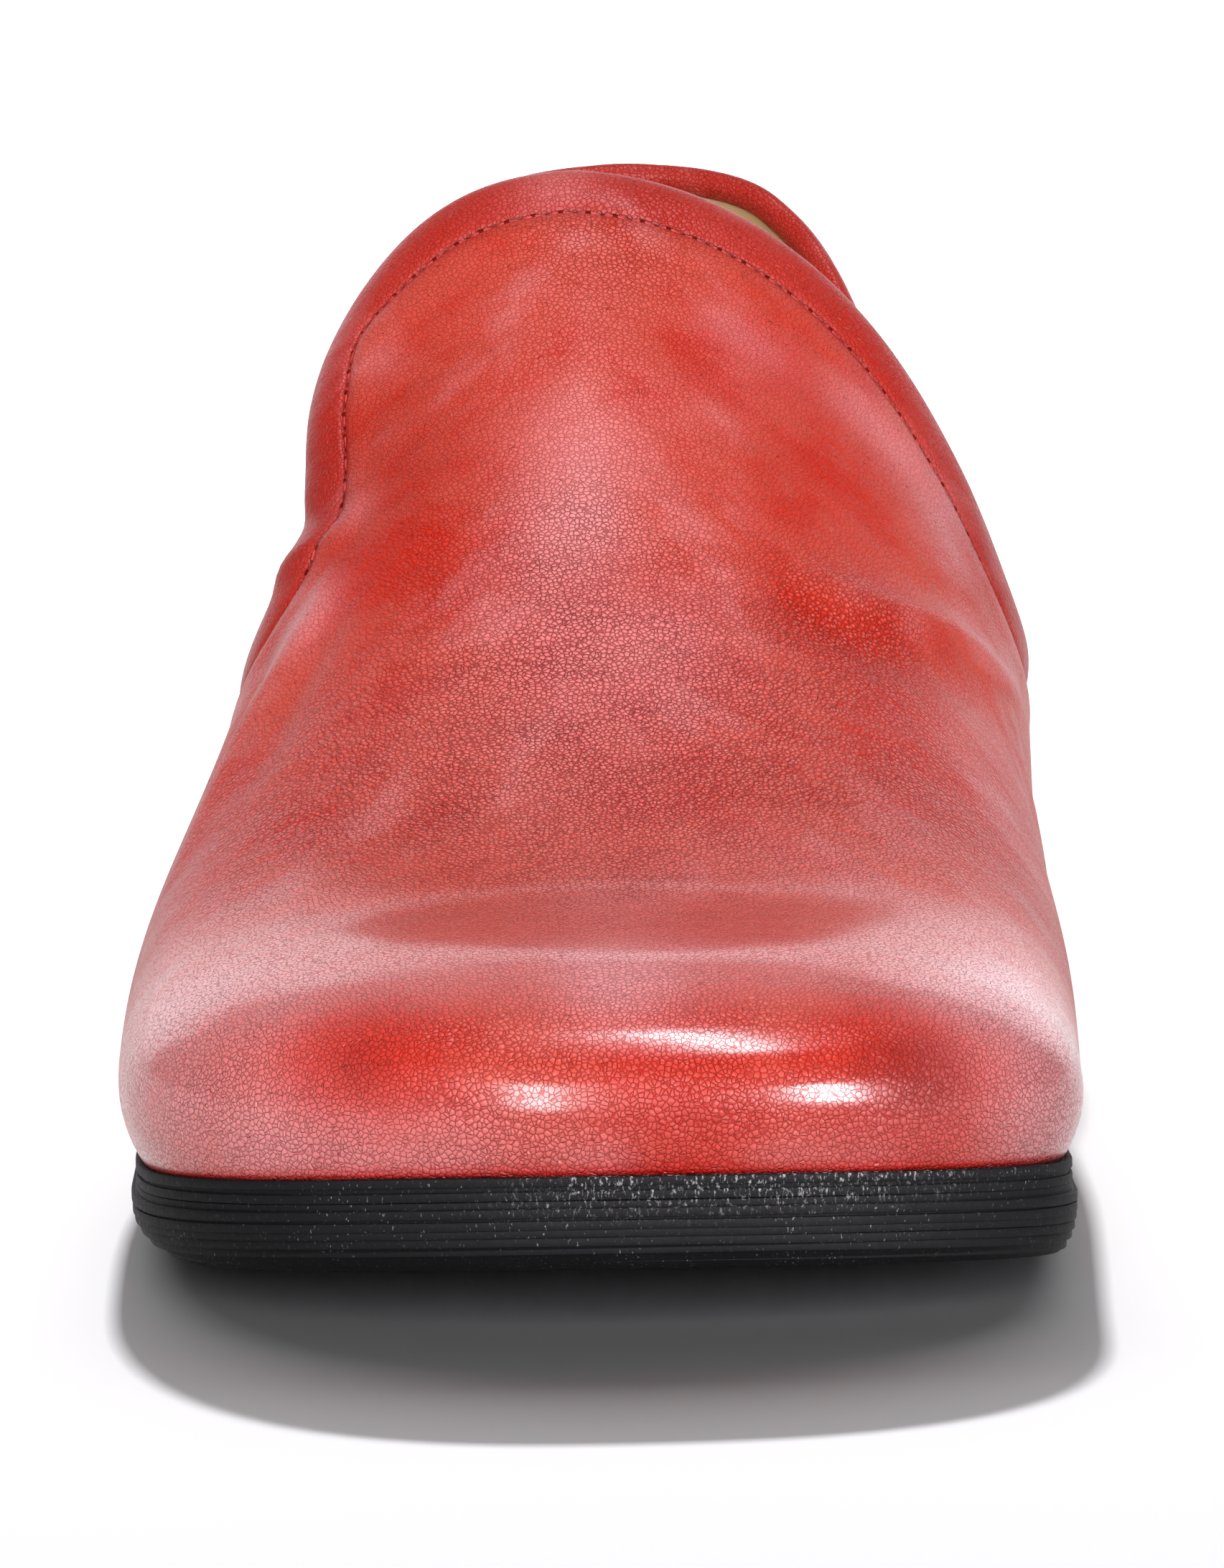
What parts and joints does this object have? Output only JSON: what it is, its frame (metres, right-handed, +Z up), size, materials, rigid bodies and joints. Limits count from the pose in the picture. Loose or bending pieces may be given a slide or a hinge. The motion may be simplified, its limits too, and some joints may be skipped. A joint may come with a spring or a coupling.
{
  "type": "loafer",
  "caption": "Left slip-on loafer: plain high leather vamp with a folded, stitched topline, open collar, insole, and a ribbed rubber sole with a low block heel",
  "frame": {"origin": "on the floor, under the middle of the shoe's box", "axes": "+Z up, toe towards -Y, heel towards +Y, medial side towards -X and lateral side towards +X"},
  "size_m": [0.0978, 0.2706, 0.0952],
  "materials": {
    "red_leather": "burnished smooth-grain red leather with a soft gloss, darker in the creases and over the toe",
    "black_rubber": "matt black moulded rubber with fine horizontal ribs and pale scuffs",
    "beige_lining": "plain tan lining leather, matt"
  },
  "bodies": {
    "root": {"outsole": "black_rubber", "midsole": "black_rubber", "insole": "beige_lining", "upper": "red_leather", "collar_band": "red_leather"}
  },
  "joints": []
}
